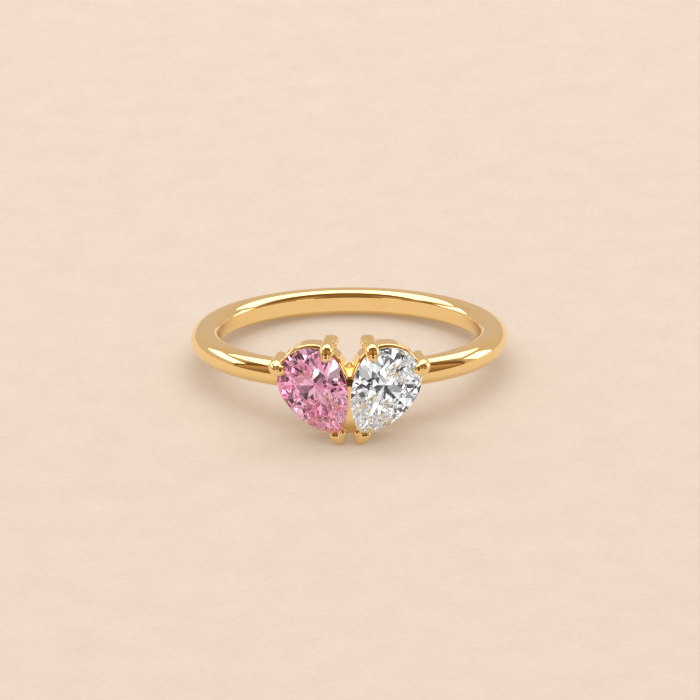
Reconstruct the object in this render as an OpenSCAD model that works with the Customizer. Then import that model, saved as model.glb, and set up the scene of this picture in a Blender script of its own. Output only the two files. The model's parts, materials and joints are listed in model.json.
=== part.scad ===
// Toi et moi ring: two pear-cut stones side by side, points down, on a slim round band.
// The ring is drawn with the finger's axis along Z and its stones facing -Y.
// It is then tipped to the way it lies on a table, on the back of its band and
// on the balls of the two V-shaped claws that hold the stones' points.
// Each stone has its own frame: X across the pear, Y from its point to its round head,
// Z out of its table, with the origin at the middle of the head's circle, halfway up the girdle.
// A direction in that frame is an angle turned from X towards Y.

/* [Band] */
// Diameter of the finger hole
bore_d = 16.5; // [14:0.1:22]
// Thickness of the band, from the finger outward
band_t = 1.84; // [1.6:0.02:2.6]
// Width of the band along the finger
band_w = 1.66; // [1.2:0.02:1.9]
// Width of the straight wall that touches the finger
bore_flat_w = 0.9; // [0.5:0.05:1.1]

/* [Stones] */
// Width of each pear
stone_w = 4.16; // [3.6:0.02:4.8]
// Length of each pear, from its point to the top of its head
stone_l = 5.94; // [5.2:0.02:7]
// Lean of each pear, its head outward and its point to the middle
stone_lean = 27.8; // [15:0.2:40]
// Turn of each stone about the finger's axis, to face a little outward
stone_fan = 9; // [0:0.5:14]
// Gap between the two stones where they are closest
stone_gap = 0.16; // [0.06:0.02:0.5]
// Height of the girdles above the outside of the band
girdle_rise = 2.4; // [2:0.05:3.5]
// Thickness of the girdle at the main facets
girdle_t = 0.12; // [0.1:0.01:0.2]
// Height of the crown above the girdle
crown_h = 0.58; // [0.4:0.02:0.8]
// Depth of the pavilion below the girdle
pavilion_d = 1.72; // [1.2:0.02:2]
// Size of the table as a share of the stone's
table_share = 0.58; // [0.45:0.01:0.7]
// Share of the way from the table to the girdle that the star facets take up
star_share = 0.5; // [0.3:0.05:0.7]
// Share of the way from the girdle to the culet that the lower half facets take up
lower_share = 0.76; // [0.6:0.02:0.9]
// Distance of the culet from the middle of the head, towards the point
culet_shift = 0.45; // [0:0.05:1]

/* [Collars] */
// How far the collar's wall stands outside the stone
collar_lip = 0.1; // [0.04:0.01:0.2]
// Thickness of the collar's wall
collar_wall = 0.56; // [0.4:0.02:0.7]
// Distance of the collar's rim below the middle of the girdle
rim_drop = 0.4; // [0.2:0.02:0.5]
// Radius that rounds the rim's outer edge
rim_round = 0.22; // [0.1:0.02:0.3]
// Depth of the collar's back edge below the middle of the girdle
collar_depth = 1.8; // [1.5:0.05:2.2]
// Clearance between a stone and the metal that holds it
seat_gap = 0.03; // [0.02:0.01:0.08]

/* [Claws] */
// Thickness of the claw at the top of each stone
top_claw_d = 0.76; // [0.6:0.02:1]
// Thickness of that claw's root
top_root_d = 0.96; // [0.8:0.02:1.1]
// Direction of the top claw from the middle of the pear's head
top_claw_at = 37; // [20:1:60]
// Thickness of the claw at the outer side of each stone
side_claw_d = 0.92; // [0.7:0.02:1.1]
// Thickness of that claw's root
side_root_d = 0.9; // [0.8:0.02:1.1]
// Direction of the side claw from the middle of the pear's head
side_claw_at = 130; // [110:1:150]
// Distance of a claw's axis outside the stone's edge
claw_out = 0.2; // [0.1:0.02:0.4]
// Height of the claws above the middle of the girdle
claw_rise = 0.85; // [0.7:0.05:1.2]
// How far a claw's tip reaches over the stone
claw_reach = 0.42; // [0.2:0.02:0.7]
// Thickness of a claw's tip
claw_tip_d = 0.54; // [0.4:0.02:0.6]
// Angle at which the claws' tips point down to the stone
claw_droop = 6; // [0:1:15]

/* [V claws] */
// Thickness of the ball below the stone's point
vee_ball_d = 0.84; // [0.6:0.02:1.1]
// Thickness of the two arms where they leave the ball
vee_arm_d = 0.72; // [0.5:0.02:0.9]
// Thickness of the lobe at the end of each arm
vee_lobe_d = 0.5; // [0.3:0.02:0.6]
// Distance of the ball below the stone's point
vee_drop = 0.2; // [0.1:0.02:0.4]
// How far the lobes lie along the stone's sides, from its point
vee_reach = 0.3; // [0.15:0.02:0.6]
// How far the lobes lie outside the stone's edge
vee_out = 0.18; // [0.1:0.02:0.35]
// Height of the ball and lobes above the middle of the girdle
vee_rise = 0.15; // [0:0.05:0.4]
// Thickness of the heel behind the ball, down the collar's point
vee_heel_d = 0.5; // [0.4:0.02:0.7]
// Depth of that heel below the middle of the girdle
vee_heel = 1.2; // [0.6:0.05:1.5]

/* [Joins] */
// Thickness of the bar from the band to the middle, between the collars
bridge_d = 0.8; // [0.5:0.05:1.1]
// Height of that bar above the middle of the band's width
bridge_z = 0.15; // [-0.1:0.05:0.3]
// How far short of the girdles the bar ends
bridge_short = 0.8; // [0.4:0.05:1.5]
// Thickness of the tie between the two collars, near the stones' points
tie_d = 0.75; // [0.4:0.05:0.9]
// Distance of the tie's middle above the stones' points
tie_rise = 0.25; // [0:0.05:0.5]
// Depth of the tie's middle behind the girdles
tie_depth = 1.2; // [0.9:0.05:1.4]
// Thickness of the post from the band to the outer side of each collar
post_d = 0.7; // [0.5:0.05:1]
// Direction of each post from the middle of the pear's head
post_at = 168; // [155:1:180]

/* [Hidden] */
$fn = 96;

// The band's wall, the middle of its thickness, and the two circles that round its section
bore_r = bore_d / 2;
band_mid_r = bore_r + band_t / 2;
outer_round_r = bore_r + band_t - band_w / 2;
inner_round_r = bore_r + sqrt(pow(band_w / 2, 2) - pow(bore_flat_w / 2, 2));

// The pear: a half circle for the head, and two wider arcs that run on from it to the point
head_r = stone_w / 2;
point_drop = stone_l - head_r;
side_r = (pow(head_r, 2) + pow(point_drop, 2)) / (2 * head_r);
side_centre = side_r - head_r;
culet = [0, -culet_shift];

// The middle of each head, in the ring's frame
girdle_y = bore_r + band_t + girdle_rise;
stone_x = stone_gap / 2 + (side_r - side_centre * cos(stone_lean)) * cos(stone_fan);
stone_z = (point_drop * cos(stone_lean) - head_r) / 2;

// Directions of the main facets, from the point round past the head, and the girdle's
// straight pieces along each half facet
MAIN_AT = [-90, -side_span() / 2, 0, 45, 90, 135, 180, 180 + side_span() / 2];
MAINS = len(MAIN_AT);
GIRDLE_STEPS = 3;

// How the ring lies: the circles of its band's back and of a V claw's ball touch the table
vee_ball = stone_point() + vee_drop * [-sin(stone_lean), -cos(stone_lean)];
foot = in_ring([vee_ball.x, vee_ball.y, vee_rise]);
foot_span = [outer_round_r - foot.y, -foot.z];
rest_tilt = atan(foot_span.y / foot_span.x) - asin((band_w - vee_ball_d) / 2 / norm(foot_span));
rest_lift = outer_round_r * sin(rest_tilt) + band_w / 2;
back_y = outer_round_r * cos(rest_tilt) + band_w / 2;
front_y = foot.y * cos(rest_tilt) + foot.z * sin(rest_tilt) - vee_ball_d / 2;

// Angle that the side arcs of a grown pear turn through, from the head to the point
function side_span(grow = 0) = acos(side_centre / (side_r + grow));

// The point of a grown pear
function stone_point(grow = 0) = [0, -(side_r + grow) * sin(side_span(grow))];

// Place on a grown pear's outline that faces a direction; past the sides' ends this is its point
function pear_at(at, grow = 0) =
    at > 90 ? mirrored(pear_at(180 - at, grow)) :
    at >= 0 ? (head_r + grow) * [cos(at), sin(at)] :
    let (a = max(at, -side_span(grow)))
    [(side_r + grow) * cos(a) - side_centre, (side_r + grow) * sin(a)];

function mirrored(p) = [-p.x, p.y];

// Direction of a corner of the girdle: an even one ends a main facet, an odd one is halfway on
function corner_at(i, grow = 0) =
    i % 2 == 1 ? (corner_at(i - 1, grow) + corner_at(i + 1, grow)) / 2 :
    i == 2 * MAINS ? 180 + side_span(grow) :
    max(MAIN_AT[i / 2], -side_span(grow));

// Where the outline's tangents at two neighbouring main facets cross
function tangents_cross(k, grow = 0) =
    let (
        at = [MAIN_AT[k], k + 1 < MAINS ? MAIN_AT[k + 1] : 270],
        n = [for (a = at) [cos(a), sin(a)]],
        d = [for (i = [0, 1]) n[i] * pear_at(at[i], grow)]
    )
    [d[0] * n[1].y - d[1] * n[0].y, n[0].x * d[1] - n[1].x * d[0]] / cross(n[0], n[1]);

// A flat place p lifted to the height h
function lifted(p, h) = [p.x, p.y, h];

// A flat place p lifted onto the plane through three points
function on_plane(p, a, b, c) =
    let (n = cross(b - a, c - a))
    lifted(p, a.z - (n.x * (p.x - a.x) + n.y * (p.y - a.y)) / n.z);

// A place in the left stone's frame, in the ring's frame
function in_ring(p) =
    let (
        across = p.x * cos(stone_lean) - p.y * sin(stone_lean),
        up = p.x * sin(stone_lean) + p.y * cos(stone_lean)
    )
    [
        -stone_x + across * cos(stone_fan) - p.z * sin(stone_fan),
        -girdle_y - across * sin(stone_fan) - p.z * cos(stone_fan),
        stone_z + up
    ];

// Depth at which a rod set straight back from the flat place p meets the middle of the band
function depth_to_band(p) =
    let (
        start = in_ring(lifted(p, 0)),
        away = start.x * sin(stone_fan) + start.y * cos(stone_fan)
    )
    -away - sqrt(pow(away, 2) - pow(start.x, 2) - pow(start.y, 2) + pow(band_mid_r, 2));

// A pear brilliant with its table, stars, kites and halves, grown outward by a clearance
module cut_stone(grow = 0) {
    top = girdle_t / 2 + grow;
    corners = 2 * MAINS;
    rim = corners * GIRDLE_STEPS;
    crosses = [for (k = [0 : MAINS - 1]) tangents_cross(k, grow)];
    table_pts = [for (at = MAIN_AT) lifted(culet + table_share * (pear_at(at, grow) - culet), top + crown_h)];
    star_reach = table_share + (1 - table_share) * star_share;
    star_pts = [for (q = crosses) lifted(culet + star_reach * (q - culet), top + crown_h * (1 - star_share))];
    lower_pts = [for (q = crosses)
        lifted(culet + (1 - lower_share) * (q - culet), -top - pavilion_d * lower_share)];
    corner_pts = [for (i = [0 : corners]) pear_at(corner_at(i, grow), grow)];
    // Each half facet's piece of girdle follows the outline and lies in the facet's own plane
    function rim_pts(tips, h) = [
        for (i = [0 : corners - 1]) for (s = [0 : GIRDLE_STEPS - 1])
            let (at = corner_at(i, grow) + (corner_at(i + 1, grow) - corner_at(i, grow)) * s / GIRDLE_STEPS)
            on_plane(pear_at(at, grow), lifted(corner_pts[i], h), lifted(corner_pts[i + 1], h), tips[floor(i / 2)])
    ];
    stars = MAINS;
    upper = 2 * MAINS;
    lower = upper + rim;
    lowers = lower + rim;
    tip = lowers + MAINS;
    polyhedron(
        points = concat(table_pts, star_pts, rim_pts(star_pts, top), rim_pts(lower_pts, -top), lower_pts,
            [lifted(culet, -top - pavilion_d)]),
        faces = concat(
            [[for (k = [MAINS - 1 : -1 : 0]) k]],
            [for (k = [0 : MAINS - 1]) [k, (k + 1) % MAINS, stars + k]],
            [for (k = [0 : MAINS - 1])
                [k, stars + k, upper + 2 * k * GIRDLE_STEPS, stars + (k + MAINS - 1) % MAINS]],
            [for (i = [0 : corners - 1])
                [stars + floor(i / 2), for (s = [GIRDLE_STEPS : -1 : 0]) upper + (i * GIRDLE_STEPS + s) % rim]],
            [for (j = [0 : rim - 1])
                [upper + j, upper + (j + 1) % rim, lower + (j + 1) % rim, lower + j]],
            [for (i = [0 : corners - 1])
                [lowers + floor(i / 2), for (s = [0 : GIRDLE_STEPS]) lower + (i * GIRDLE_STEPS + s) % rim]],
            [for (k = [0 : MAINS - 1])
                [tip, lowers + (k + MAINS - 1) % MAINS, lower + 2 * k * GIRDLE_STEPS, lowers + k]]
        )
    );
}

// A rod up the Z axis with a round end on top
module domed_rod(d, len) {
    rotate_extrude() {
        square([d / 2, len - d / 2]);
        translate([0, len - d / 2]) intersection() {
            circle(d = d);
            square(d);
        }
    }
}

// A round arm that tapers from a ball at the origin to a smaller ball up the Z axis
module ball_arm(root_d, end_d, len) {
    taper = asin((root_d - end_d) / 2 / len);
    root = root_d / 2 * [cos(taper), sin(taper)];
    end = [0, len] + end_d / 2 * [cos(taper), sin(taper)];
    rotate_extrude() {
        intersection() {
            circle(d = root_d);
            translate([0, root.y - root_d]) square(root_d);
        }
        polygon([[0, root.y], root, end, [0, end.y]]);
        intersection() {
            translate([0, len]) circle(d = end_d);
            translate([0, end.y]) square(end_d);
        }
    }
}

// Half of the band's round section, bulging towards X
module half_disc() {
    intersection() {
        circle(d = band_w);
        translate([0, -band_w]) square(2 * band_w);
    }
}

module band() {
    rotate_extrude() difference() {
        union() {
            translate([outer_round_r, 0]) half_disc();
            translate([inner_round_r, -band_w / 2]) square([outer_round_r - inner_round_r, band_w]);
            translate([inner_round_r, 0]) mirror([1, 0]) half_disc();
        }
        translate([0, -band_w]) square([bore_r, 2 * band_w]);
    }
}

// Sweeps a flat section round the pear's outline, where the section's X runs outward from it
module along_pear() {
    reach = 4 * side_r;
    intersection() {
        rotate_extrude() translate([head_r, 0]) children();
        translate([-reach / 2, 0, -reach / 2]) cube(reach);
    }
    for (turn = [0, 1]) mirror([turn, 0, 0]) intersection() {
        translate([-side_centre, 0, 0]) rotate_extrude() translate([side_r, 0]) children();
        translate([0, -reach, -reach / 2]) cube(reach);
    }
}

// The open pear-shaped ring of wall under each stone, rounded at its rim's outer edge
module collar() {
    along_pear() union() {
        translate([collar_lip - collar_wall, -collar_depth])
            square([collar_wall - rim_round, collar_depth - rim_drop]);
        translate([collar_lip - collar_wall, -collar_depth])
            square([collar_wall, collar_depth - rim_drop - rim_round]);
        translate([collar_lip - rim_round, -rim_drop - rim_round]) intersection() {
            circle(r = rim_round);
            square(rim_round);
        }
    }
}

// A claw up the outside of the collar, bent inward over the stone
module claw(root_d, d, at) {
    rise = claw_rise - d / 2;
    rotate([0, 0, at]) translate([head_r + claw_out, 0, 0]) {
        translate([0, 0, -collar_depth]) cylinder(d1 = root_d, d2 = d, h = collar_depth + rise);
        translate([0, 0, rise]) rotate([0, -90 - claw_droop, 0])
            ball_arm(d, claw_tip_d, claw_out + claw_reach - claw_tip_d / 2);
    }
}

// The V-shaped claw round a stone's point: a ball, two arms and a heel
module vee_claw() {
    half_point = 90 - side_span();
    translate(lifted(vee_ball, vee_rise)) sphere(d = vee_ball_d);
    for (turn = [-1, 1]) {
        lobe = stone_point() + vee_reach * [turn * sin(half_point), cos(half_point)]
            + vee_out * [turn * cos(half_point), -sin(half_point)];
        arm = lobe - vee_ball;
        translate(lifted(vee_ball, vee_rise)) rotate([0, 90, atan2(arm.y, arm.x)])
            ball_arm(vee_arm_d, vee_lobe_d, norm(arm));
    }
    translate(lifted(stone_point(), -vee_heel)) domed_rod(vee_heel_d, vee_heel + vee_rise);
}

// The post from the band to the outer side of a collar
module post() {
    foot_at = (head_r + collar_lip - collar_wall / 2) * [cos(post_at), sin(post_at)];
    depth = depth_to_band(foot_at);
    translate(lifted(foot_at, -depth)) cylinder(d = post_d, h = depth - collar_depth + collar_wall);
}

// The bar that joins the two collars to the band in the middle
module bridge() {
    translate([0, -band_mid_r, bridge_z]) rotate([90, 0, 0])
        cylinder(d = bridge_d, h = girdle_y - bridge_short - band_mid_r);
}

// The short tie between the collars' points, as long as the distance between them
module tie() {
    end = in_ring(lifted(stone_point(), -tie_depth));
    translate(end + [0, 0, tie_rise]) rotate([0, 90, 0]) cylinder(d = tie_d, h = -2 * end.x);
}

// Places what is drawn in a stone's frame on the left of the ring
module on_left() {
    translate([-stone_x, -girdle_y, stone_z]) rotate([0, 0, -stone_fan]) rotate([90, 0, 0])
        rotate([0, 0, stone_lean]) children();
}

module on_right() {
    mirror([1, 0, 0]) on_left() children();
}

// Tips the ring to the way it lies and sets the middle of its underside at the origin
module at_rest() {
    translate([0, -(back_y + front_y) / 2, rest_lift]) rotate([-rest_tilt, 0, 0]) children();
}

module setting() {
    collar();
    claw(top_root_d, top_claw_d, top_claw_at);
    claw(side_root_d, side_claw_d, side_claw_at);
    vee_claw();
    post();
}

module gold_mount() {
    color("goldenrod") at_rest() difference() {
        union() {
            band();
            bridge();
            tie();
            on_left() setting();
            on_right() setting();
        }
        on_left() cut_stone(seat_gap);
        on_right() cut_stone(seat_gap);
    }
}

module pink_stone() {
    color("palevioletred") at_rest() on_left() cut_stone();
}

module clear_stone() {
    color("whitesmoke") at_rest() on_right() cut_stone();
}

gold_mount();
pink_stone();
clear_stone();
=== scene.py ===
# %% [markdown]
# # A toi et moi ring
#
# A toi et moi ring sets two stones side by side. Here both are pears with their points down:
# a pink one on the left and a colourless one on the right. They sit in two open gold collars
# on a slim round band, and the ring lies on its side on a pale table.
#
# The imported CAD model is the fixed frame. Its stones are shown as they are, because a cut
# stone is nothing but flat facets. Its gold is shown through finer surfaces with the same
# sizes, because polished metal is a mirror and shows every small flat.

# %% Load the frame
import json
import math

import bpy
import numpy as np
from mathutils import Matrix, Vector


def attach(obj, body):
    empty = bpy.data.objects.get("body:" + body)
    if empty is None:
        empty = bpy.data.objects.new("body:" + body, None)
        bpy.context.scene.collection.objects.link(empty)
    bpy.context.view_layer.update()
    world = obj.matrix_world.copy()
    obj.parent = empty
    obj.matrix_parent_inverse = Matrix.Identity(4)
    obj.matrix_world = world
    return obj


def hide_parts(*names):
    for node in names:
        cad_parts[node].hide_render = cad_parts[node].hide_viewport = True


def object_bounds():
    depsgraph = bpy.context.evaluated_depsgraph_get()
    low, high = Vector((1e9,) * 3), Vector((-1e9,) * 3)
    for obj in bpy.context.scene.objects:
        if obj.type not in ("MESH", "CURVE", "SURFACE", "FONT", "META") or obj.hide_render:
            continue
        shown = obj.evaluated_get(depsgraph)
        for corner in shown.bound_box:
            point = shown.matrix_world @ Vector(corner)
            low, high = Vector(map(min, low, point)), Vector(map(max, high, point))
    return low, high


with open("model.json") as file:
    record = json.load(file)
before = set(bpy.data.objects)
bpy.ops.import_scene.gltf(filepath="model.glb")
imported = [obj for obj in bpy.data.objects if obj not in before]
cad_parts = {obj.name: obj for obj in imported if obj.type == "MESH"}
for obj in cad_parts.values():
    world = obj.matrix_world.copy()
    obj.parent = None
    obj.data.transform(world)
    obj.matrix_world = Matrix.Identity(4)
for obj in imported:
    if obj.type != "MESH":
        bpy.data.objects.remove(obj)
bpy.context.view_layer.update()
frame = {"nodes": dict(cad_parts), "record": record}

# %% [markdown]
# ## Places
#
# The ring is easiest to describe in its own frame, with the finger's axis along Z, the stones
# towards -Y and lengths in millimetres. The finger hole's mount says where that frame lies
# and how far it leans, because the ring rests on the back of its band and on its two V claws.
# Each stone has a frame too: u across the pear, v from its point to its head, w out of its
# table. One function turns each frame into the next, for a whole array of points at once.

# %% From the ring's frame to the model's
MM = 0.001
hole = next(m for m in frame["record"]["mounts"] if m["name"] == "finger_bore")
RING_AT = np.array(hole["pos_m"])
UP = np.array(hole["axis"]) / np.linalg.norm(hole["axis"])
BACK = np.cross(UP, [1.0, 0.0, 0.0])


def to_model(p):
    """The ring's centre, plus x across, y along BACK and z along UP, in metres."""
    return RING_AT + MM * (p[..., :1] * [1.0, 0.0, 0.0] + p[..., 1:2] * BACK + p[..., 2:3] * UP)


print("the finger's axis leans", round(math.degrees(math.acos(UP[2])), 2), "degrees")

# %% From a stone's frame to the ring's
STONE_W, STONE_L = 4.16, 5.94
LEAN, FAN = math.radians(27.8), math.radians(9)
STONE_GAP = 0.16
BORE_R, BAND_T, BAND_W = 8.25, 1.84, 1.66
GIRDLE_RISE = 2.4

HEAD_R = STONE_W / 2
POINT_DROP = STONE_L - HEAD_R
SIDE_R = (HEAD_R**2 + POINT_DROP**2) / (2 * HEAD_R)
SIDE_CENTRE = SIDE_R - HEAD_R
STONE_AT = np.array([
    -STONE_GAP / 2 - (SIDE_R - SIDE_CENTRE * math.cos(LEAN)) * math.cos(FAN),
    -(BORE_R + BAND_T + GIRDLE_RISE),
    (POINT_DROP * math.cos(LEAN) - HEAD_R) / 2,
])
ACROSS = np.array([math.cos(LEAN) * math.cos(FAN), -math.cos(LEAN) * math.sin(FAN), math.sin(LEAN)])
ALONG = np.array([-math.sin(LEAN) * math.cos(FAN), math.sin(LEAN) * math.sin(FAN), math.cos(LEAN)])
OUT = np.array([-math.sin(FAN), -math.cos(FAN), 0.0])
SIDES = {"left": np.array([1.0, 1.0, 1.0]), "right": np.array([-1.0, 1.0, 1.0])}


def to_ring(p, side):
    """The head's centre plus u, v and w along the stone's directions; the right is the left's mirror."""
    q = STONE_AT + p[..., :1] * ACROSS + p[..., 1:2] * ALONG + p[..., 2:3] * OUT
    return q * SIDES[side]


print("head of the left pear, mm:", STONE_AT.round(3))

# %% [markdown]
# ## The camera
#
# The photograph was taken from far off with a long lens, 15.3 degrees above the plane of the
# band. The camera comes first, so that each piece can be looked at as it is made. A long lens
# and a tiny shift reproduce the framing, and the small roll is the tilt of a hand-held shot.
# Its distance is in millimetres from the ring's centre, and its angles are in radians.

# %% Camera
FRAME_PX = 700
FOCAL_PX = 7191.0
CENTRE_PX = -0.68
SENSOR_MM = 36.0
NEAREST = 0.01
DISTANCE = 457.45
HEIGHT_ANGLE, PITCH, ROLL = 0.26701, 0.268723, 0.0073346


def ring_direction(x, y, z):
    """A direction of the ring's frame, in the model's."""
    return Vector(np.array([x, 0.0, 0.0]) + y * BACK + z * UP)


eye = DISTANCE * np.array([0.0, -math.cos(HEIGHT_ANGLE), math.sin(HEIGHT_ANGLE)])
forward = ring_direction(0, math.cos(PITCH), -math.sin(PITCH))
upward = ring_direction(0, math.sin(PITCH), math.cos(PITCH))
sideways = forward.cross(upward)
camera_right = math.cos(ROLL) * sideways - math.sin(ROLL) * upward
camera_up = math.sin(ROLL) * sideways + math.cos(ROLL) * upward

camera_data = bpy.data.cameras.new("camera")
camera_data.sensor_width = SENSOR_MM
camera_data.lens = FOCAL_PX * SENSOR_MM / FRAME_PX
camera_data.shift_x = -CENTRE_PX / FRAME_PX
camera_data.clip_start = NEAREST
camera = bpy.data.objects.new("camera", camera_data)
turn = Matrix((camera_right, camera_up, -forward)).transposed()
camera.matrix_world = Matrix.Translation(Vector(to_model(eye))) @ turn.to_4x4()
bpy.context.scene.collection.objects.link(camera)
bpy.context.scene.camera = camera
looks_down = math.degrees(math.asin(-forward.z))
print("lens", round(camera_data.lens, 1), "mm; looks", round(looks_down, 1), "degrees down")

# %% [markdown]
# ## Meshes from grids
#
# Every gold piece is a grid of points: rows run along the piece, columns run round it. The
# faces of such a grid are the same simple pattern each time, so one helper makes them, with
# the last column joined to the first. The rows either join end to end too, as in a ring, or
# close on one point at each end, as in a rod. The volume's sign says whether the faces look
# outward, and a mirrored piece is turned round where they don't.

# %% Faces of a grid
def ring_faces(rows, columns, joined):
    """Quads between each row and the next; the last column meets the first."""
    r = np.arange(rows if joined else rows - 1)[:, None]
    c = np.arange(columns)[None, :]
    below, above = r * columns, (r + 1) % rows * columns
    after = (c + 1) % columns
    return np.stack([below + c, below + after, above + after, above + c], -1).reshape(-1, 4)


def fan_faces(pole, row, columns, flip):
    """Triangles from a pole to the row next to it."""
    c = np.arange(columns)
    after = (c + 1) % columns
    tri = np.stack([np.full(columns, pole), row * columns + after, row * columns + c], -1)
    return tri[:, ::-1] if flip else tri


def signed_volume(points, faces):
    """A sixth of the sum of each corner-fan's triple product."""
    total = 0.0
    for k in range(1, faces.shape[1] - 1):
        a, b, c = points[faces[:, 0]], points[faces[:, k]], points[faces[:, k + 1]]
        total += float(np.einsum("ij,ij->i", a, np.cross(b, c)).sum()) / 6
    return total


print("four rows of three points have", len(ring_faces(4, 3, False)), "faces")

# %% Grid to mesh
def grid_piece(name, grid, poles=None):
    """A closed smooth mesh from a grid of points in the ring's frame; poles are the two ends of a rod."""
    rows, columns = grid.shape[:2]
    points = grid.reshape(-1, 3)
    groups = [ring_faces(rows, columns, poles is None)]
    if poles is not None:
        points = np.concatenate([points, poles])
        first, last = rows * columns, rows * columns + 1
        groups += [fan_faces(first, 0, columns, False), fan_faces(last, rows - 1, columns, True)]
    points = to_model(points)
    if sum(signed_volume(points - points.mean(0), g) for g in groups) < 0:
        groups = [g[:, ::-1] for g in groups]
    mesh = bpy.data.meshes.new(name)
    mesh.from_pydata(points.tolist(), [], [f for g in groups for f in g.tolist()])
    mesh.polygons.foreach_set("use_smooth", np.ones(len(mesh.polygons), bool))
    mesh.update()
    piece = bpy.data.objects.new(name, mesh)
    bpy.context.scene.collection.objects.link(piece)
    low, high = points.min(0) / MM, points.max(0) / MM
    print(name, len(mesh.polygons), "faces, mm", low.round(2), "to", high.round(2))
    return piece


gold_pieces = []

# %% [markdown]
# ## The band
#
# The band is round and slim, rounded outside, with a short straight wall against the finger.
# Its section could be drawn as a curve and lathed with Spin. Here the section is an array of
# points, and turning it about the finger's axis is one multiplication.

# %% Band
BORE_FLAT_W = 0.9
SUPPORT = 0.03
BAND_STEPS, OUTER_STEPS, INNER_STEPS, SIDE_STEPS = 720, 33, 12, 3


def arc(centre, radius, start, end, count):
    """Points at a radius from a centre, as the angle in degrees runs from start to end."""
    a = np.radians(np.linspace(start, end, count))
    return np.stack([centre[0] + radius * np.cos(a), centre[1] + radius * np.sin(a)], -1)


def straight(a, b, count=6):
    """Points between a and b, one of them close to each end, to keep it flat when it is shaded smooth."""
    a, b = np.array(a, float), np.array(b, float)
    near = SUPPORT / np.linalg.norm(b - a)
    share = np.concatenate([[near], np.linspace(near, 1 - near, count)[1:-1], [1 - near]])
    return a + share[:, None] * (b - a)


half_w = BAND_W / 2
outer_centre = (BORE_R + BAND_T - half_w, 0.0)
inner_centre = (BORE_R + math.sqrt(half_w**2 - (BORE_FLAT_W / 2) ** 2), 0.0)
corner_angle = 180 - math.degrees(math.asin(BORE_FLAT_W / BAND_W))
inner_top = arc(inner_centre, half_w, 90, corner_angle, INNER_STEPS)
inner_low = inner_top[::-1] * [1, -1]
band_section = np.concatenate([
    arc(outer_centre, half_w, -90, 90, OUTER_STEPS),
    straight([outer_centre[0], half_w], [inner_centre[0], half_w], SIDE_STEPS),
    inner_top,
    straight(inner_top[-1], inner_low[0]),
    inner_low,
    straight([inner_centre[0], -half_w], [outer_centre[0], -half_w], SIDE_STEPS),
])


def lathe(section, steps):
    """Each section point (r, z) turned about Z: r times the cosine, r times the sine, z."""
    a = np.linspace(0, 2 * np.pi, steps, endpoint=False)[:, None]
    r, z = section[None, :, 0], section[None, :, 1]
    return np.stack([r * np.cos(a), r * np.sin(a), z + 0 * a], -1)


gold_pieces.append(grid_piece("band", lathe(band_section, BAND_STEPS)))

# %% [markdown]
# ## The collars
#
# Under each stone is an open wall that follows the pear. A pear is a half circle for the head
# and two wider arcs that run on from it to the point, so a place on its outline is a formula
# of one number, and growing the pear only lengthens the three radii. The wall's section, with
# its rounded rim and its sloping seat, is carried along that outline.

# %% Pear outline
def pear(s, grow):
    """The grown pear's outline: s climbs the right side up to 1, rounds the head up to 2, then goes down."""
    span = np.arccos(SIDE_CENTRE / (SIDE_R + grow))
    side = np.where(s < 1, span * (s - 1), -span * (s - 2))
    head = np.pi * (s - 1)
    mirrored = np.where(s < 1, 1.0, -1.0)
    on_head = (s >= 1) & (s <= 2)
    side_u = mirrored * ((SIDE_R + grow) * np.cos(side) - SIDE_CENTRE)
    u = np.where(on_head, (HEAD_R + grow) * np.cos(head), side_u)
    v = np.where(on_head, (HEAD_R + grow) * np.sin(head), (SIDE_R + grow) * np.sin(side))
    return np.stack([u, v], -1)


print("point and top of the pear, mm:", pear(np.array([0.0, 1.5]), 0.0).round(2).tolist())

# %% Section of a collar
COLLAR_LIP, COLLAR_WALL, COLLAR_DEPTH = 0.1, 0.56, 1.8
RIM_DROP, RIM_ROUND = 0.4, 0.22
SEAT_IN, SEAT_DEEP = 0.3, 0.26
EDGE_ROUND = 0.05


def rounded(corners, radii, count=9):
    """A closed outline whose corners become arcs that touch both of their edges."""
    corners = np.array(corners, float)
    parts = []
    for i, (p, radius) in enumerate(zip(corners, radii)):
        before, after = corners[i - 1] - p, corners[(i + 1) % len(corners)] - p
        before, after = before / np.linalg.norm(before), after / np.linalg.norm(after)
        half = math.acos(float(np.clip(before @ after, -1, 1))) / 2
        middle = (before + after) / np.linalg.norm(before + after)
        centre = p + middle * radius / math.sin(half)
        a0 = p + before * radius / math.tan(half) - centre
        a1 = p + after * radius / math.tan(half) - centre
        turn = np.linspace(0, 1, count)[:, None] * (math.pi - 2 * half)
        side = np.sign(a0[0] * a1[1] - a0[1] * a1[0])
        parts.append(centre + a0 * np.cos(turn) + side * np.array([-a0[1], a0[0]]) * np.sin(turn))
    joined = []
    for i, part in enumerate(parts):
        joined += [part, straight(part[-1], parts[(i + 1) % len(parts)][0])]
    return np.concatenate(joined)


inner = COLLAR_LIP - COLLAR_WALL
collar_section = rounded(
    [[COLLAR_LIP, -COLLAR_DEPTH], [COLLAR_LIP, -RIM_DROP], [COLLAR_LIP - SEAT_IN, -RIM_DROP],
     [inner, -RIM_DROP - SEAT_DEEP], [inner, -COLLAR_DEPTH]],
    [EDGE_ROUND, RIM_ROUND, EDGE_ROUND, EDGE_ROUND, EDGE_ROUND],
)
print("the collar's section has", len(collar_section), "points")

# %% Collars
COLLAR_STEPS = 110
POINT_CROWD = 1.5


def carried_round(section, steps):
    """Each section point (grow, w) at each place of the pear's outline; the places crowd at its point."""
    ends = np.linspace(0, 1, steps) ** POINT_CROWD
    s = np.concatenate([ends[:-1], np.linspace(1, 2, steps), 3 - ends[::-1][1:-1]])
    grown = pear(s[:, None], section[None, :, 0])
    return np.concatenate([grown, np.broadcast_to(section[None, :, 1:], grown.shape[:2] + (1,))], -1)


for side in SIDES:
    wall = to_ring(carried_round(collar_section, COLLAR_STEPS), side)
    gold_pieces.append(grid_piece("collar_" + side, wall))

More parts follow.
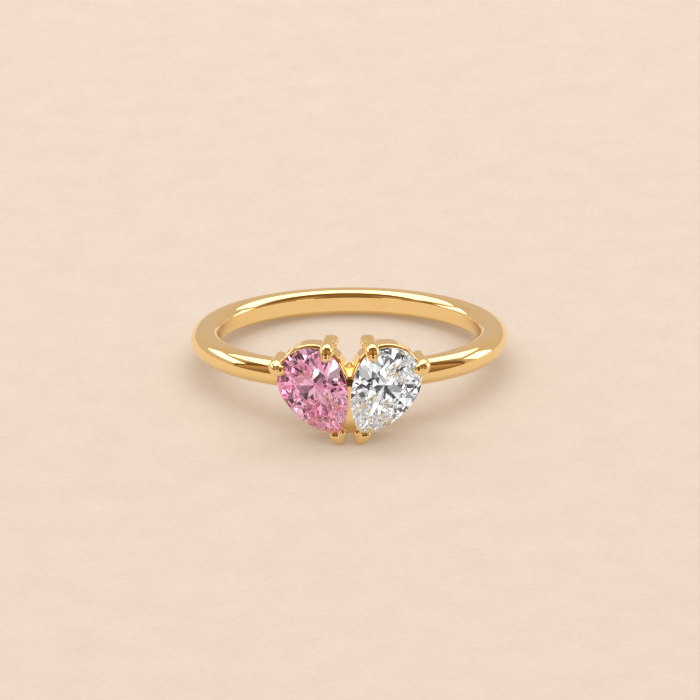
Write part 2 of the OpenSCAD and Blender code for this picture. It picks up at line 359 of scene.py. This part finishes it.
# %% [markdown]
# ## Pressing metal against a stone
#
# A setter cuts a notch in each claw for the stone's edge and pushes the tip down on the
# crown. A stone is convex, so a point lies inside it when it is behind every facet. Each claw
# point that would be inside is moved out through the nearest facet, to a hair's width away.

# %% Facet planes of the stones
SETTING_GAP = 0.03


def facet_planes(node):
    """Outward normal and distance of each facet of a CAD stone, in millimetres of the ring's frame."""
    mesh = frame["nodes"][node].data
    count = len(mesh.polygons)
    normal, centre = np.empty(count * 3, np.float32), np.empty(count * 3, np.float32)
    mesh.polygons.foreach_get("normal", normal)
    mesh.polygons.foreach_get("center", centre)
    axes = np.stack([[1.0, 0.0, 0.0], BACK, UP], -1)
    normal = normal.reshape(-1, 3) @ axes
    centre = (centre.reshape(-1, 3) - RING_AT) @ axes / MM
    planes = np.column_stack([normal, np.einsum("ij,ij->i", normal, centre)])
    planes = np.unique(np.round(planes, 3), axis=0)
    print(node, count, "triangles on", len(planes), "planes")
    return planes


PLANES = {"left": facet_planes("pink_stone"), "right": facet_planes("clear_stone")}


def pressed(points, side):
    """A point less than the gap outside its nearest plane moves out along that plane's normal."""
    flat = points.reshape(-1, 3)
    planes = PLANES[side]
    distance = flat @ planes[:, :3].T - planes[:, 3]
    nearest = distance.argmax(1)
    short = np.maximum(SETTING_GAP - distance[np.arange(len(flat)), nearest], 0)
    return (flat + short[:, None] * planes[nearest, :3]).reshape(points.shape)


# %% [markdown]
# ## The claws
#
# Each collar carries two round claws: a slimmer one near the top, inside, and a thicker one
# on the outer side. Each runs up the collar, leans in and ends in a dome over the stone. The
# top claw is bent like a bean and stands in front of a short straight root, so two rods make
# it. A curve with a bevel could do this. Here a smooth spine and a radius along it give the
# rings of a tube, and the last rings shrink on a quarter circle to make the dome.

# %% Smooth line
def smooth_line(knots, count):
    """Cubics from knot to knot; the slope at a knot is that from the one before to the one after."""
    k = np.array(knots, float)
    k = np.concatenate([2 * k[:1] - k[1:2], k, 2 * k[-1:] - k[-2:-1]])
    t = np.linspace(0, len(knots) - 1 - 1e-9, count)
    i, f = t.astype(int), (t % 1)[:, None]
    a, b, c, d = k[i], k[i + 1], k[i + 2], k[i + 3]
    return b + f * (c - a) / 2 + f**2 * (a - 2.5 * b + 2 * c - d / 2) + f**3 * (1.5 * (b - c) + (d - a) / 2)


print("between two knots:", smooth_line([[0, 0], [1, 1], [2, 0]], 5).round(2).tolist())

# %% Rod
AROUND = 64
PLAIN_EDGE = 0.06


def rod(knots, across, edge=PLAIN_EDGE, tip_edge=None, count=60, cap=14):
    """Circles round a spine of (u, v, w, radius) knots, with edges of quarter circles, or a domed tip."""
    line = smooth_line(knots, count)
    spine, radius = line[:, :3], line[:, 3:]
    tip_edge = radius[-1] if tip_edge is None else tip_edge
    along = np.gradient(spine, axis=0)
    along /= np.linalg.norm(along, axis=1, keepdims=True)
    a = np.radians(np.linspace(0, 90, cap + 1))[1:-1, None]
    tip = spine[-1] + along[-1] * tip_edge * np.sin(a)
    tip_r = radius[-1] - tip_edge * (1 - np.cos(a))
    back = spine[0] - along[0] * edge * np.sin(a[::-1])
    back_r = radius[0] - edge * (1 - np.cos(a[::-1]))
    centres = np.concatenate([back, spine, tip])
    radii = np.concatenate([back_r, radius, tip_r])
    ends = np.repeat(along[:1], len(a), 0), np.repeat(along[-1:], len(a), 0)
    directions = np.concatenate([ends[0], along, ends[1]])
    first = across - (directions @ across)[:, None] * directions
    first /= np.linalg.norm(first, axis=1, keepdims=True)
    second = np.cross(directions, first)
    turn = np.linspace(0, 2 * np.pi, AROUND, endpoint=False)[None, :, None]
    circles = np.cos(turn) * first[:, None] + np.sin(turn) * second[:, None]
    rings = centres[:, None] + radii[:, None] * circles
    poles = np.stack([spine[0] - along[0] * edge, spine[-1] + along[-1] * tip_edge])
    return rings, poles


# %% Claws
# Each row is a knot: u, v, w and the radius there, from the claw's foot to its tip.
TOP_ROOT = [[2.0, 1.36, -1.75, 0.39], [1.99, 1.31, -1.2, 0.38], [1.98, 1.27, -0.75, 0.37]]
TOP_CLAW = [
    [1.93, 1.54, -1.35, 0.36], [1.85, 1.37, -0.70, 0.41], [1.80, 1.24, -0.05, 0.45],
    [1.755, 1.14, 0.18, 0.44], [1.70, 1.03, 0.33, 0.39], [1.66, 0.95, 0.38, 0.33],
]
SIDE_CLAW = [
    [-1.43, 1.85, -1.75, 0.38], [-1.48, 1.79, -0.8, 0.42], [-1.54, 1.72, -0.1, 0.47],
    [-1.50, 1.62, 0.13, 0.465], [-1.39, 1.53, 0.31, 0.41], [-1.29, 1.46, 0.38, 0.34],
]
# Name, knots, rounding of the foot's edge and of the tip's edge, with None for a dome.
CLAWS = [
    ("top_root_", TOP_ROOT, 0.1, 0.1),
    ("top_claw_", TOP_CLAW, 0.25, None),
    ("side_claw_", SIDE_CLAW, 0.1, None),
]
for side in SIDES:
    for name, knots, edge, tip_edge in CLAWS:
        outward = np.array([knots[0][1], -knots[0][0], 0.0])
        rings, poles = rod(knots, outward / np.linalg.norm(outward), edge, tip_edge)
        rings, poles = pressed(to_ring(rings, side), side), pressed(to_ring(poles, side), side)
        gold_pieces.append(grid_piece(name + side, rings, poles))

# %% [markdown]
# ## The V claws
#
# A pear's point is its weakest place, so a claw bent to a V wraps it. From the front it looks
# like a kidney: a ball below the point and a lobe on each side. It could be sculpted, or made
# of metaballs. Here a field says how far a place is from the metal, with the ball, the lobes
# and the heel behind them blended softly, and a ray in every direction finds where it is zero.

# %% Field of a V claw
# Each row is a ball: u, v, w and its radius.
VEE_BALL = [-0.10, -4.01, 0.0, 0.355]
VEE_OUTER = [-0.29, -3.70, 0.28, 0.27]
VEE_INNER = [0.325, -3.78, 0.28, 0.27]
VEE_HEEL = [0.0, -3.86, -1.1, 0.27]
HEEL_TOP_R = 0.34
ARM_BLEND, HEEL_BLEND = 0.25, 0.06


def taper(p, a, b):
    """Distance to the nearest place on the line from a to b, less the radius there, which changes evenly."""
    a, b = np.array(a), np.array(b)
    run = b[:3] - a[:3]
    share = np.clip((p - a[:3]) @ run / (run @ run), 0, 1)
    centre = a[:3] + share[..., None] * run
    return np.linalg.norm(p - centre, axis=-1) - (a[3] + share * (b[3] - a[3]))


def soft_union(a, b, width):
    """The smaller of two distances, rounded off where they differ by less than the width."""
    h = np.clip(0.5 + (b - a) / (2 * width), 0, 1)
    return b + (a - b) * h - width * h * (1 - h)


def vee_field(p):
    """The ball with an arm to each lobe, and the heel down the collar's point."""
    arms = soft_union(taper(p, VEE_BALL, VEE_OUTER), taper(p, VEE_BALL, VEE_INNER), ARM_BLEND)
    return soft_union(arms, taper(p, VEE_BALL[:3] + [HEEL_TOP_R], VEE_HEEL), HEEL_BLEND)


print("depth of the ball's middle, mm:", round(float(vee_field(np.array(VEE_BALL[:3]))), 3))

# %% V claws
VEE_REACH = 2.0
HALVINGS = 26


def blob(centre, pole, field, reach, rows=120, columns=180):
    """The zero of a field along each ray from the centre, halving the interval until it is found."""
    pole = np.array(pole, float) / np.linalg.norm(pole)
    side = np.cross(pole, [0.0, 0.0, 1.0])
    side /= np.linalg.norm(side)
    other = np.cross(pole, side)
    a = np.linspace(0, np.pi, rows + 2)[:, None, None]
    b = np.linspace(0, 2 * np.pi, columns, endpoint=False)[None, :, None]
    rays = np.cos(a) * pole + np.sin(a) * (np.cos(b) * side + np.sin(b) * other)
    low, high = np.zeros(rays.shape[:2]), np.full(rays.shape[:2], reach)
    for _ in range(HALVINGS):
        middle = (low + high) / 2
        inside = field(centre + middle[..., None] * rays) < 0
        low, high = np.where(inside, middle, low), np.where(inside, high, middle)
    points = centre + low[..., None] * rays
    return points[1:-1], points[[0, -1], 0]


down = [-math.sin(LEAN), -math.cos(LEAN), 0.0]
vee_rings, vee_poles = blob(np.array(VEE_BALL[:3]), down, vee_field, VEE_REACH)
for side in SIDES:
    rings, poles = pressed(to_ring(vee_rings, side), side), pressed(to_ring(vee_poles, side), side)
    gold_pieces.append(grid_piece("vee_claw_" + side, rings, poles))

# %% [markdown]
# ## The web between the stones
#
# Where the two collars lean together, the gap between them is filled with gold. Seen from the
# front it is a narrow strip that follows both stones, and at its top it turns back over a
# smooth saddle. A profile that is a little hollow is carried up the strip and over its top,
# and then it is pressed against both stones as the claws are.

# %% Web
WEB_T, WEB_WIDEST = 0.22, 0.38
WEB_UNDER = 0.1
WEB_HOLLOW, SADDLE_HOLLOW = 0.02, 0.12
# The y and z of the strip's middle, from behind the stones' points, up in front, to behind the saddle.
WEB_PATH = [
    [-11.60, -3.00], [-11.90, -2.90], [-12.15, -2.65], [-12.40, -2.30], [-12.55, -1.90], [-12.58, -1.35],
    [-12.55, -0.80], [-12.51, -0.20], [-12.47, 0.40], [-12.43, 0.72], [-12.33, 0.90], [-12.12, 1.04],
    [-11.70, 1.20], [-11.25, 1.30], [-11.05, 1.20], [-10.98, 0.85],
]
WEB_COLUMNS = 25


def stone_edge(z):
    """Distance from the middle to a stone's edge at each height: the side's centre less half its chord."""
    middle = STONE_AT + (-SIDE_CENTRE) * ACROSS
    reach = np.sqrt(np.maximum(SIDE_R**2 - (z - middle[2]) ** 2, 0))
    return -(middle[0] + reach * math.cos(FAN))


def web(path, count=200):
    """At each place of the path, a strip as wide as the gap there, sunk in its middle, with a flat back."""
    line = smooth_line(path, count)
    run = np.gradient(line, axis=0)
    run /= np.linalg.norm(run, axis=1, keepdims=True)
    facing = np.stack([-run[:, 1], run[:, 0]], -1)
    half = np.minimum(stone_edge(line[:, 1]) + WEB_UNDER, WEB_WIDEST)
    across = np.linspace(-1, 1, WEB_COLUMNS)
    hollow = WEB_HOLLOW + (SADDLE_HOLLOW - WEB_HOLLOW) * np.clip(facing[:, 1], 0, 1)
    front = -hollow[:, None] * (1 - across**2)
    x = half[:, None] * np.concatenate([across, across[::-1]])
    depth = np.concatenate([front, np.full_like(front, -WEB_T)], 1)
    y = line[:, :1] + facing[:, :1] * depth
    z = line[:, 1:] + facing[:, 1:] * depth
    return np.stack([x, y, z], -1)


rings = web(WEB_PATH)
poles = rings[[0, -1]].mean(1)
for side in SIDES:
    rings, poles = pressed(rings, side), pressed(poles, side)
gold_pieces.append(grid_piece("web", rings, poles))

# %% [markdown]
# ## Joins to the band
#
# Behind the stones a bar runs from the band to the place where the collars meet, a short tie
# holds the collars together at their points, and a post joins each collar's outer side to
# the band. They are plain rods whose ends are buried in what they join.

# %% Bar, tie and posts
BRIDGE_R, BRIDGE_Z, BRIDGE_SHORT = 0.4, 0.15, 0.8
TIE_R, TIE_RISE, TIE_DEPTH = 0.375, 0.25, 1.2
POST_R, POST_AT = 0.35, math.radians(168)
band_middle = BORE_R + BAND_T / 2


def bar(name, start, end, radius):
    """A plain rod between two places in the ring's frame."""
    start, end = np.array(start, float), np.array(end, float)
    knots = [list(start + t * (end - start)) + [radius] for t in (0, 0.5, 1)]
    across = np.array([0.0, 0.0, 1.0]) if abs(end[2] - start[2]) < 1 else np.array([1.0, 0.0, 0.0])
    rings, poles = rod(knots, across, tip_edge=PLAIN_EDGE, cap=8, count=12)
    gold_pieces.append(grid_piece(name, rings, poles))


bar("bridge", [0, -band_middle, BRIDGE_Z], [0, STONE_AT[1] + BRIDGE_SHORT, BRIDGE_Z], BRIDGE_R)
tie_end = to_ring(np.array([0.0, -POINT_DROP, -TIE_DEPTH]), "left") + [0, 0, TIE_RISE]
bar("tie", tie_end, tie_end * SIDES["right"], TIE_R)
foot = (HEAD_R + COLLAR_LIP - COLLAR_WALL / 2) * np.array([math.cos(POST_AT), math.sin(POST_AT)])
for side in SIDES:
    top = to_ring(np.array([*foot, -COLLAR_DEPTH]), side)
    out = OUT * SIDES[side]
    inward = top @ out - math.sqrt((top @ out) ** 2 - top[0] ** 2 - top[1] ** 2 + band_middle**2)
    bar("post_" + side, top - inward * out, top, POST_R)

for piece in gold_pieces:
    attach(piece, "root")
    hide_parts("gold_mount")

# %% [markdown]
# ## Writing materials
#
# A material is a small sum on sockets. One class wraps a socket, so that a sum in Python adds
# the Math nodes, and one method adds any other node from its type, its settings and its values.
# Short helpers after it mix colours, run a value through a range or a colour ramp, give soft
# noise, tip the surface by a height, and tell which kind of ray meets the surface.

# %% Sockets that add up
class Wire:
    """A value on its way through a node tree."""

    def __init__(self, tree, socket):
        self.tree, self.socket = tree, socket

    def node(self, kind, settings=(), values=(), out=0):
        """Adds a node: its settings first, then the values or links of its sockets, by name or number."""
        made = self.tree.nodes.new(kind)
        for key, value in dict(settings).items():
            if key == "stops":
                ramp = made.color_ramp.elements
                while len(ramp) < len(value):
                    ramp.new(1.0)
                for stop, (place, colour) in zip(ramp, value):
                    stop.position, stop.color = place, (*colour, 1.0)
            else:
                setattr(made, key, value)
        for key, value in dict(values).items():
            if isinstance(value, Wire):
                self.tree.links.new(value.socket, made.inputs[key])
            else:
                made.inputs[key].default_value = value
        return Wire(self.tree, made.outputs[out])

    def sum(self, operation, a, b):
        """Adds a Math node with its operation and its two values."""
        return self.node("ShaderNodeMath", {"operation": operation}, {0: a, 1: b})

    def __add__(self, other):
        return self.sum("ADD", self, other)

    def __radd__(self, other):
        return self.sum("ADD", other, self)

    def __mul__(self, other):
        return self.sum("MULTIPLY", self, other)

    def __rmul__(self, other):
        return self.sum("MULTIPLY", other, self)

    def __truediv__(self, other):
        return self.sum("DIVIDE", self, other)

    def __rtruediv__(self, other):
        return self.sum("DIVIDE", other, self)


# %% Helpers for materials
def new_material(name, colour, **fixed):
    """A material with one Principled shader, its fixed values on its sockets, and a wire to start from."""
    material = bpy.data.materials.new(name)
    material.use_nodes = True
    material.diffuse_color = (*colour, 1.0)
    tree = material.node_tree
    shader = tree.nodes["Principled BSDF"]
    shader.inputs["Base Color"].default_value = (*colour, 1.0)
    for key, value in fixed.items():
        shader.inputs[key.replace("_", " ")].default_value = value
    start = Wire(tree, tree.nodes.new("ShaderNodeTexCoord").outputs["Object"])
    return material, shader, start


def join(wire, shader, name):
    """Links a wire to the shader's socket of that name."""
    wire.tree.links.new(wire.socket, shader.inputs[name])


def mix(wire, share, a, b):
    """A colour that is a where the share is 0 and b where it is 1; each is a wire or three numbers."""
    a, b = (colour if isinstance(colour, Wire) else (*colour, 1.0) for colour in (a, b))
    return wire.node("ShaderNodeMix", {"data_type": "RGBA"}, {0: share, 6: a, 7: b}, out=2)


def between(value, low, high, start, end):
    """Runs evenly from start to end while the value runs from low to high, and is level outside."""
    return value.node("ShaderNodeMapRange", values={0: value, 1: low, 2: high, 3: start, 4: end})


def toned(value, stops):
    """The colour that a value has on a ramp through stops, each a place and a colour."""
    return value.node("ShaderNodeValToRGB", {"stops": stops}, {"Fac": value})


def noise(wire, scale, detail=2.0):
    """Soft random values from 0 to 1, with the given number of patches in a metre."""
    return wire.node("ShaderNodeTexNoise", values={"Vector": wire, "Scale": scale, "Detail": detail})


def bump(height, strength, distance):
    """The normal of a surface that a height of 1 raises by the distance, in metres."""
    values = {"Height": height, "Strength": strength, "Distance": distance}
    return height.node("ShaderNodeBump", values=values)


def ray(wire, name):
    """What the renderer says of the ray that meets the surface, by the socket's name."""
    return wire.node("ShaderNodeLightPath", out=name)


# %% [markdown]
# ## What shows in a stone
#
# A cut stone is a box of mirrors. It folds the room into hundreds of small dark and bright
# patches, and a real room has far more to fold than this one. So a ray that comes out of a
# stone meets cells of black, grey, white and bright light, in place of the room and the gold.
# A ray that was thrown back very often would turn the cells into mere grain, so they fade
# towards a plain pale grey as the ray gets longer.

# %% Cells of light
# Each row is a place on the ramp and the brightness there.
CELL_TONES = [
    (0.0, 0.01), (0.26, 0.03), (0.30, 0.25), (0.42, 0.50),
    (0.46, 0.84), (0.74, 1.05), (0.78, 1.5), (1.0, 2.8),
]
CALM_FROM, CALM_TO = 6.0, 18.0
CALM_SHARE, CALM_TONE = 0.75, (0.72, 0.72, 0.72)


def sparkle(wire, scale):
    """Each cell's random number picks its tone, and the ray's depth mixes the plain grey into it."""
    cells = wire.node("ShaderNodeTexVoronoi", values={"Vector": wire, "Scale": scale}, out="Color")
    number = wire.node("ShaderNodeSeparateColor", values={0: cells})
    tones = toned(number, [(place, (tone, tone, tone)) for place, tone in CELL_TONES])
    calm = between(ray(wire, "Ray Depth"), CALM_FROM, CALM_TO, 0.0, CALM_SHARE)
    return mix(wire, calm, tones, CALM_TONE)


def behind(shader, wire, other):
    """Shows the other shader in place of the first to a ray that has just come out of a stone."""
    first = Wire(wire.tree, shader.outputs[0])
    both = wire.node("ShaderNodeMixShader", values={0: ray(wire, "Is Transmission Ray"), 1: first, 2: other})
    wire.tree.links.new(both.socket, wire.tree.nodes["Material Output"].inputs["Surface"])


print("brightness of the cells:", [tone for place, tone in CELL_TONES])

# %% [markdown]
# ## Polished gold
#
# Yellow gold is coloured only by what it reflects, so its look is its base colour and the
# room. A polished ring still isn't perfect: the wheel leaves a faint waviness and finer and
# duller patches, so the roughness and the surface vary a little at two sizes. Seen through a
# stone, the gold glows with painted cells of light in place of its reflection.

# %% Gold
GOLD, GOLD_DEEP = (1.0, 0.78, 0.39), (0.97, 0.72, 0.33)
GOLD_PATCHES, GOLD_FINE, FINE_DETAIL = 900.0, 9000.0, 4.0
POLISH, DULLER = 0.035, 0.04
FINE_SHARE = 0.15
WAVE_STRENGTH, WAVE_HEIGHT = 0.25, 0.00001
BEHIND_CELLS = 600.0

gold, gold_shader, place = new_material("polished gold", GOLD, Metallic=1.0, Roughness=POLISH)
patches = noise(place, GOLD_PATCHES)
fine = noise(place, GOLD_FINE, FINE_DETAIL)
join(mix(place, patches, GOLD, GOLD_DEEP), gold_shader, "Base Color")
join(POLISH + DULLER * patches * fine, gold_shader, "Roughness")
join(bump(patches + FINE_SHARE * fine, WAVE_STRENGTH, WAVE_HEIGHT), gold_shader, "Normal")
# Painted reflection: to a ray out of a stone, the gold gives off the cells of light in place of what it
# would reflect.
behind(gold_shader, place, place.node("ShaderNodeEmission", values={"Color": sparkle(place, BEHIND_CELLS)}))
for piece in gold_pieces:
    piece.data.materials.append(gold)
print(len(gold_pieces), "pieces of gold")

# %% [markdown]
# ## The stones
#
# A cut stone bends light at each facet and throws it back from the ones behind. The shader is
# clear, with the refractive index of diamond, and the facets do the rest. The colour is taken
# out each time that light goes through. It lies between two tints that follow soft noise, so
# no stone is one flat colour, and the sheen on the front is toned down to let the inside show.
# Light is thrown about in a stone dozens of times, and a ray that is given up too early leaves
# a dark window, so the renderer may follow it for longer than it does by itself.

# %% Stone materials
DIAMOND, SHEEN = 2.42, (0.4, 0.4, 0.42)
PINK, PINK_DEEP = (1.0, 0.60, 0.74), (0.80, 0.17, 0.33)
CLEAR, CLEAR_DEEP = (0.98, 0.98, 1.0), (0.92, 0.93, 0.96)
TINT_PATCHES, TINT_FROM, TINT_TO = 700.0, 0.38, 0.62
BOUNCES = 64


def stone_material(name, colour, deeper):
    """Clear and smooth, with a colour that runs from one tint to the other as the noise rises."""
    fixed = {"Transmission_Weight": 1.0, "Roughness": 0.0, "IOR": DIAMOND, "Specular_Tint": (*SHEEN, 1.0)}
    material, shader, start = new_material(name, colour, **fixed)
    depth = between(noise(start, TINT_PATCHES), TINT_FROM, TINT_TO, 0.0, 1.0)
    join(mix(start, depth, colour, deeper), shader, "Base Color")
    return material


def paint(node, material):
    """Puts the material in every slot of a CAD node."""
    slots = frame["nodes"][node].material_slots
    for one in slots:
        one.material = material
    print(node, "is", material.name)


paint("pink_stone", stone_material("pink stone", PINK, PINK_DEEP))
paint("clear_stone", stone_material("clear stone", CLEAR, CLEAR_DEEP))
for kind in ("max_bounces", "transmission_bounces", "glossy_bounces"):
    setattr(bpy.context.scene.cycles, kind, BOUNCES)

# %% [markdown]
# ## The table
#
# The ring lies on a pale warm sheet of paper. Noise at two sizes gives it mottled patches and
# a grain. A sheet in a bright studio gets light back from everything around it, and its
# shadows are soft and warm. Here the sheet gives off part of its tone by itself, a painted
# light that does the same. A ray that comes out of a stone passes through the sheet to the cells beyond.

# %% Table
TABLE_HALF = 1.5
TABLE_COLOUR, TABLE_DEEP = (0.33, 0.318, 0.306), (0.236, 0.226, 0.218)
# Painted light: the sheet's own warm glow stands in for light thrown back onto it, and lightens its shadows.
TABLE_GLOW, GLOW_LOW, GLOW_STRENGTH = (0.33, 0.235, 0.155), 0.92, 1.0
TABLE_ROUGH = 0.9
MOTTLE, MOTTLE_DETAIL = 350.0, 3.0
GRAIN, GRAIN_DETAIL = 2500.0, 4.0
GRAIN_STRENGTH, GRAIN_HEIGHT = 0.5, 0.0002

table_mesh = bpy.data.meshes.new("table")
level = float(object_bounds()[0][2])
h = TABLE_HALF
table_mesh.from_pydata([(-h, -h, level), (h, -h, level), (h, h, level), (-h, h, level)], [], [(0, 1, 2, 3)])
table = bpy.data.objects.new("table", table_mesh)
bpy.context.scene.collection.objects.link(table)
table_paint, table_shader, place = new_material("pale table", TABLE_COLOUR, Roughness=TABLE_ROUGH)
paper = 0.5 * noise(place, MOTTLE, MOTTLE_DETAIL) + 0.5 * noise(place, GRAIN, GRAIN_DETAIL)
glow = mix(place, paper, TABLE_GLOW, [GLOW_LOW * c for c in TABLE_GLOW])
join(mix(place, paper, TABLE_COLOUR, TABLE_DEEP), table_shader, "Base Color")
join(glow, table_shader, "Emission Color")
table_shader.inputs["Emission Strength"].default_value = GLOW_STRENGTH
join(bump(paper, GRAIN_STRENGTH, GRAIN_HEIGHT), table_shader, "Normal")
behind(table_shader, place, place.node("ShaderNodeBsdfTransparent"))
table_mesh.materials.append(table_paint)
print("table at", level, "m")

# %% [markdown]
# ## Lamps and room
#
# Polished gold shows the room more than itself, so the room matters. A long soft lamp overhead
# gives the pale line along the band, a panel on each side gives its ends, and two small lamps
# beside the camera light the fronts of the claws. A wide lamp high above lights only the
# table: metal doesn't show it. No lamp is seen through a stone.

# %% Lamps
WHITE, WARM = (1.0, 0.97, 0.93), (1.0, 0.95, 0.88)
RING = (0.0, 0.0, 0.0)
# Name, place, target, width, depth, radiance, colour, roll in degrees, and whether metal shows it.
LAMPS = [
    ("overhead", (0.05, 0.47, 0.6), (0.05, 0.47, 0.0), 1.2, 0.60, 1.9, WHITE, 14, True),
    ("left panel", (-0.95, 0.45, 0.50), RING, 0.85, 0.32, 2.2, WHITE, 0, True),
    ("right panel", (1.05, 0.48, 0.33), RING, 0.45, 0.55, 2.2, WHITE, 0, True),
    ("left fill", (-0.42, -0.5, 0.17), RING, 0.2, 0.14, 2.6, WARM, 0, True),
    ("right fill", (0.42, -0.5, 0.17), RING, 0.2, 0.14, 2.6, WARM, 0, True),
    ("wide fill", (0.0, -0.3, 1.5), RING, 3.0, 3.0, 1.82, WHITE, 0, False),
]


def soft_lamp(name, place, target, width, depth, radiance, colour, roll, shown):
    """A rectangular lamp; its power is pi times its area times the wanted radiance."""
    data = bpy.data.lights.new(name, "AREA")
    data.shape, data.size, data.size_y = "RECTANGLE", width, depth
    data.energy, data.color = math.pi * width * depth * radiance, colour
    lamp = bpy.data.objects.new(name, data)
    aim = (Vector(target) - Vector(place)).to_track_quat("-Z", "Y").to_matrix()
    aim = aim @ Matrix.Rotation(math.radians(roll), 3, "Z")
    lamp.matrix_world = Matrix.Translation(place) @ aim.to_4x4()
    lamp.visible_glossy, lamp.visible_transmission = shown, False
    bpy.context.scene.collection.objects.link(lamp)
    print(name, round(data.energy, 2), "W")


for row in LAMPS:
    soft_lamp(*row)

# %% [markdown]
# ## The walls
#
# Between the lamps the gold shows warm walls. Their tone depends on the angle alone, from the
# horizon in front, up over the top and down to the horizon behind. A dark strip overhead parts
# the front half from the back, and a darker patch above the camera gives the gold its deep
# tones. One ramp holds each, and a mask with soft edges lays the patch over the walls.

# %% Room
ROOM_CELLS = 4.0
# Each row is a share of the half turn from front to back, and the colour there.
WALLS = [
    (0.0, (0.22, 0.12, 0.05)), (0.15, (0.28, 0.16, 0.07)), (0.30, (0.42, 0.25, 0.13)),
    (0.43, (0.60, 0.38, 0.20)), (0.465, (0.20, 0.11, 0.05)), (0.55, (0.20, 0.11, 0.05)),
    (0.62, (0.58, 0.45, 0.37)), (0.9, (0.68, 0.56, 0.48)), (1.0, (0.64, 0.52, 0.44)),
]
DARK_PATCH = [(0.20, (0.06, 0.035, 0.015)), (0.29, (0.26, 0.15, 0.07))]
PATCH_SIDE, PATCH_TOP = (0.22, 0.42), (0.43, 0.50)

world = bpy.data.worlds.new("room")
bpy.context.scene.world = world
world.use_nodes = True
room = world.node_tree
sky = Wire(room, room.nodes.new("ShaderNodeTexCoord").outputs["Generated"])
split = sky.node("ShaderNodeSeparateXYZ", values={0: sky}).socket.node
x, y, z = (Wire(room, split.outputs[k]) for k in range(3))
over = sky.sum("ARCTAN2", z, -1.0 * y) / math.pi
aside = sky.sum("ABSOLUTE", x, 0.0)
mask = between(aside, *PATCH_SIDE, 1.0, 0.0) * between(over, *PATCH_TOP, 1.0, 0.0)
walls = mix(sky, mask, toned(over, WALLS), toned(over, DARK_PATCH))
colour = mix(sky, ray(sky, "Is Transmission Ray"), walls, sparkle(sky, ROOM_CELLS))
room.links.new(colour.socket, room.nodes["Background"].inputs["Color"])
bpy.context.scene.view_settings.view_transform = "Standard"
print("the room's tree has", len(room.nodes), "nodes")
